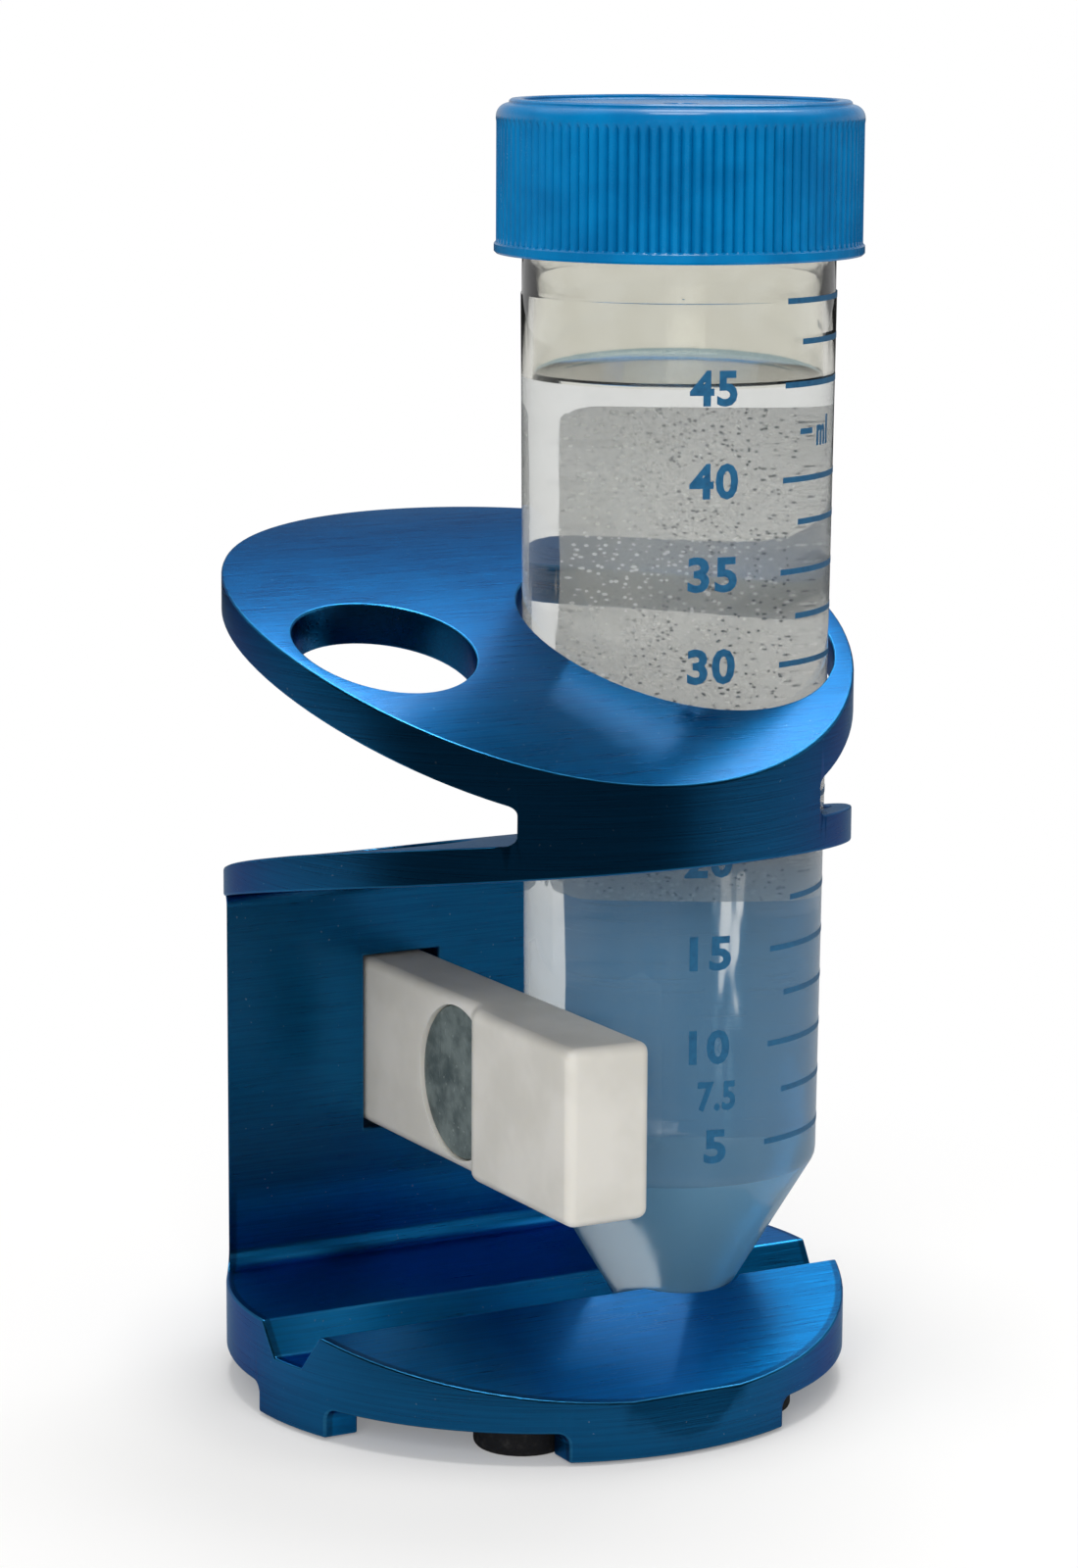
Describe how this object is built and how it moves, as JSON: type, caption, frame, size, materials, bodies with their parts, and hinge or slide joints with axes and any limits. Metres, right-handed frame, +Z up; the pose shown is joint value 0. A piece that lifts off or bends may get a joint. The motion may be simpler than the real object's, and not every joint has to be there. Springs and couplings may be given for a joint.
{
  "type": "magnetic separation rack",
  "caption": "Milled round rack that holds a conical tube and a smaller tube beside a sliding bar with a disc magnet, shown with a capped sample tube in it.",
  "frame": {"origin": "on the axis of the round housing, at the bench that the rubber feet stand on", "axes": "+Z up; +X towards the open front of the housing; the tubes stand in a line along Y, the large one on the +Y side"},
  "size_m": [0.06, 0.06, 0.1229],
  "materials": {
    "housing": "blue anodised, finely brushed",
    "magnet_bar": "milky white, slightly translucent",
    "disc_magnet": "dark, scratched plating",
    "sample_tube": "clear, glossy",
    "sample_liquid": "clear liquid",
    "screw_cap": "satin blue plastic",
    "foot": "matt black"
  },
  "bodies": {
    "rack": {"housing": "housing", "sample_tube": "sample_tube", "sample_liquid": "sample_liquid", "foot_front_left": "foot", "foot_front_right": "foot", "foot_back_left": "foot", "foot_back_right": "foot"},
    "bar": {"magnet_bar": "magnet_bar", "disc_magnet": "disc_magnet"},
    "cap": {"screw_cap": "screw_cap"}
  },
  "joints": [
    {"name": "bar_slide", "type": "slide", "parent": "rack", "child": "bar", "axis": [1, 0, 0], "range_m": [0, 0.04]},
    {"name": "cap_turn", "type": "hinge", "parent": "rack", "child": "cap", "pos_m": [0.0056, 0.0118, 0.1155], "axis": [0, 0, 1], "range_deg": [0, 360]}
  ]
}
